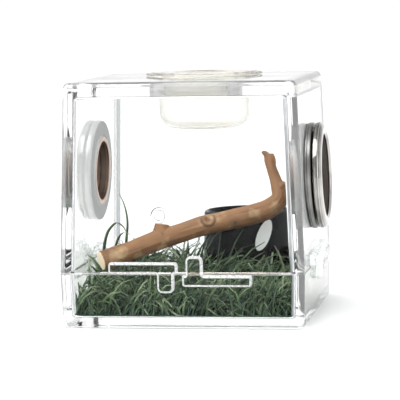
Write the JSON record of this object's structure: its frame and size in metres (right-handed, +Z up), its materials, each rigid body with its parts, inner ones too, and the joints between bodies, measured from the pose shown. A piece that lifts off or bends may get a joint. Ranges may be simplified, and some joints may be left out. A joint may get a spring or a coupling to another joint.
{
  "type": "small animal display case",
  "caption": "Clear two-part box with a shallow turfed tray, a lift-off hood, screened screw vents, a hanging roof cup and a stick and a round hide inside.",
  "frame": {"origin": "centre of the tray's underside, on the surface that the case stands on", "axes": "+X to the right along the line through the two vents' walls, +Y from the front towards the back, +Z up"},
  "size_m": [0.1134, 0.1046, 0.1011],
  "materials": {
    "clear_acrylic": "clear, polished",
    "turf_backing": "woven",
    "turf": "matte",
    "stick_wood": "raw, peeled",
    "black_plastic": "glossy",
    "white_patch": "matte",
    "vent_steel": "satin",
    "vent_chrome": "polished",
    "screen_steel": "woven wire",
    "vent_rubber": "matte, dark",
    "seal_rubber": "matte",
    "cup_plastic": "translucent"
  },
  "bodies": {
    "tray": {"base_tray": "clear_acrylic", "base_lug_front": "clear_acrylic", "base_lug_right": "clear_acrylic", "base_lug_back": "clear_acrylic", "base_lug_left": "clear_acrylic", "turf_backing": "turf_backing", "turf_pile": "turf", "branch": "stick_wood", "hide": "black_plastic", "hide_badge": "white_patch"},
    "hood": {"hood": "clear_acrylic", "hood_lug_front": "clear_acrylic", "hood_lug_right": "clear_acrylic", "hood_lug_back": "clear_acrylic", "hood_lug_left": "clear_acrylic", "vent_body_right": "vent_steel", "vent_gasket_right": "vent_rubber", "vent_body_left": "vent_steel", "vent_gasket_left": "vent_rubber"},
    "screen_right": {"vent_mesh_right": "screen_steel"},
    "ring_right": {"vent_ring_right": "vent_chrome"},
    "screen_left": {"vent_mesh_left": "screen_steel"},
    "ring_left": {"vent_ring_left": "vent_chrome"},
    "cup": {"feeding_cup": "cup_plastic", "cup_seal": "seal_rubber"},
    "lid": {"cup_lid": "cup_plastic"},
    "plug": {"watering_plug": "clear_acrylic"}
  },
  "joints": [
    {"name": "hood_lift", "type": "slide", "parent": "tray", "child": "hood", "axis": [0, 0, 1], "range_m": [0, 0.05]},
    {"name": "screen_right_travel", "type": "slide", "parent": "hood", "child": "screen_right", "axis": [0.9995, 0, 0.0324], "range_m": [0, 0.00225]},
    {"name": "ring_right_turn", "type": "hinge", "parent": "screen_right", "child": "ring_right", "pos_m": [0.04882, -0.016, 0.059], "axis": [0.9995, 0, 0.0324], "range_deg": [0, 540]},
    {"name": "screen_left_travel", "type": "slide", "parent": "hood", "child": "screen_left", "axis": [-0.9995, 0, 0.0324], "range_m": [0, 0.00225]},
    {"name": "ring_left_turn", "type": "hinge", "parent": "screen_left", "child": "ring_left", "pos_m": [-0.04882, 0.016, 0.059], "axis": [-0.9995, 0, 0.0324], "range_deg": [0, 540]},
    {"name": "cup_lift", "type": "slide", "parent": "hood", "child": "cup", "axis": [0, 0, 1], "range_m": [0, 0.03]},
    {"name": "lid_lift", "type": "slide", "parent": "cup", "child": "lid", "axis": [0, 0, 1], "range_m": [0, 0.01]},
    {"name": "plug_pull", "type": "slide", "parent": "hood", "child": "plug", "axis": [0, 0.9995, 0.0324], "range_m": [0, 0.01]}
  ],
  "couplings": [
    {"joint": "screen_right_travel", "follows": "ring_right_turn", "m_per_rad": 0.00023873},
    {"joint": "screen_left_travel", "follows": "ring_left_turn", "m_per_rad": 0.00023873}
  ]
}
